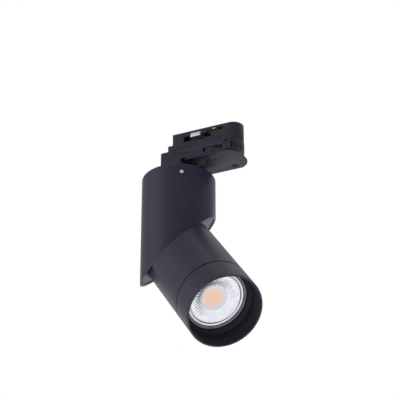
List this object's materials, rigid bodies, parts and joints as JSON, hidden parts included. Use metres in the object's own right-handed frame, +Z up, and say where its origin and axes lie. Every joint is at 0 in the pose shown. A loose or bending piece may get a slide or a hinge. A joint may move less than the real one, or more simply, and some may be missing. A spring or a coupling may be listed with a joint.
{
  "type": "track spotlight",
  "caption": "Cylindrical track spotlight: a track adapter, an upright tube with a slanted end, and a lamp head that turns on it, with a removable front ring over a reflector lamp.",
  "frame": {"origin": "on the tube's swivel axis, in the plane of the track's underside where the adapter's housing seats", "axes": "+Z up into the track, +X along the track towards the adapter's long end"},
  "size_m": [0.1112, 0.1038, 0.2011],
  "materials": {
    "black_paint": "fine satin powder coat",
    "black_plastic": "fine matt moulding",
    "white_plastic": "matt",
    "bright_steel": "zinc plated",
    "black_steel": "blackened",
    "spring_steel": "oiled",
    "cast_aluminium": "as machined",
    "contact_brass": "bright",
    "black_rubber": "matt",
    "lead_sheath": "matt silicone sheath",
    "bezel_plastic": "satin",
    "lens_plastic": "clear moulded optic",
    "board_white": "solder mask",
    "phosphor": "yellow-orange phosphor dome"
  },
  "bodies": {
    "adapter": {"adapter_housing": "black_plastic", "adapter_insert": "black_plastic", "housing_screw_1": "black_steel", "housing_screw_2": "black_steel", "neutral_contact": "contact_brass", "earth_contact_1": "contact_brass", "earth_contact_2": "contact_brass", "adapter_lead": "lead_sheath"},
    "lever": {"lock_lever": "black_plastic", "lever_rivet": "black_steel", "lock_shaft": "black_steel", "lock_cam": "bright_steel"},
    "selector": {"selector_wheel": "black_plastic", "selector_shaft": "white_plastic", "phase_contact": "contact_brass"},
    "button": {"release_button": "black_plastic"},
    "tube": {"swivel_nipple": "bright_steel", "stop_washer": "bright_steel", "ring_nut": "contact_brass", "mount_cap": "black_paint", "upper_tube": "black_paint", "set_screw_1": "bright_steel", "set_screw_2": "bright_steel", "set_screw_3": "bright_steel", "terminal_block": "white_plastic", "terminal_screw": "bright_steel", "supply_lead": "lead_sheath", "link_lead": "lead_sheath", "upper_pivot_plate": "black_paint", "friction_disc": "black_rubber"},
    "head": {"head_shell": "black_paint", "lower_pivot_plate": "black_paint", "pivot_bolt": "bright_steel", "wave_washer": "spring_steel", "stop_plate": "bright_steel", "pivot_nut": "bright_steel", "bayonet_pin_1": "bright_steel", "bayonet_pin_2": "bright_steel", "bayonet_pin_3": "bright_steel", "ring_seal": "black_rubber", "lamp_holder": "white_plastic", "holder_bracket": "bright_steel", "holder_screw_1": "bright_steel", "holder_screw_2": "bright_steel", "holder_lead": "lead_sheath"},
    "front_ring": {"front_ring": "black_paint"},
    "lamp": {"lamp_housing": "cast_aluminium", "lamp_bezel": "bezel_plastic", "lamp_lens": "lens_plastic", "led_board": "board_white", "led_emitter": "phosphor", "lamp_base": "white_plastic", "lamp_pin_1": "bright_steel", "lamp_pin_2": "bright_steel"}
  },
  "joints": [
    {"name": "pan", "type": "hinge", "parent": "adapter", "child": "tube", "pos_m": [0, 0, -0.02], "axis": [0, 0, 1], "range_deg": [-165, 165]},
    {"name": "head_swivel", "type": "hinge", "parent": "tube", "child": "head", "pos_m": [0, 0, -0.0882], "axis": [0.5827, 0.4005, -0.7071], "range_deg": [-120.8, 59.2]},
    {"name": "lamp_twist", "type": "hinge", "parent": "head", "child": "lamp", "pos_m": [0.0327, -0.02174, -0.13356], "axis": [-0.5451, 0.3624, 0.756], "range_deg": [0, 20]},
    {"name": "ring_bayonet", "type": "hinge", "parent": "head", "child": "front_ring", "pos_m": [0.04906, -0.03261, -0.15624], "axis": [-0.5451, 0.3624, 0.756], "range_deg": [0, 25]},
    {"name": "lock_lever_turn", "type": "hinge", "parent": "adapter", "child": "lever", "pos_m": [0.0205, 0, 0], "axis": [0, 0, 1], "range_deg": [0, 90]},
    {"name": "phase_select", "type": "hinge", "parent": "adapter", "child": "selector", "pos_m": [0.0362, -0.0055, 0], "axis": [0, 0, 1], "range_deg": [-60, 60]},
    {"name": "button_press", "type": "slide", "parent": "adapter", "child": "button", "axis": [-1, 0, 0], "range_m": [0, 0.0028], "stiffness_N_per_m": 500, "springref_m": -0.002}
  ]
}
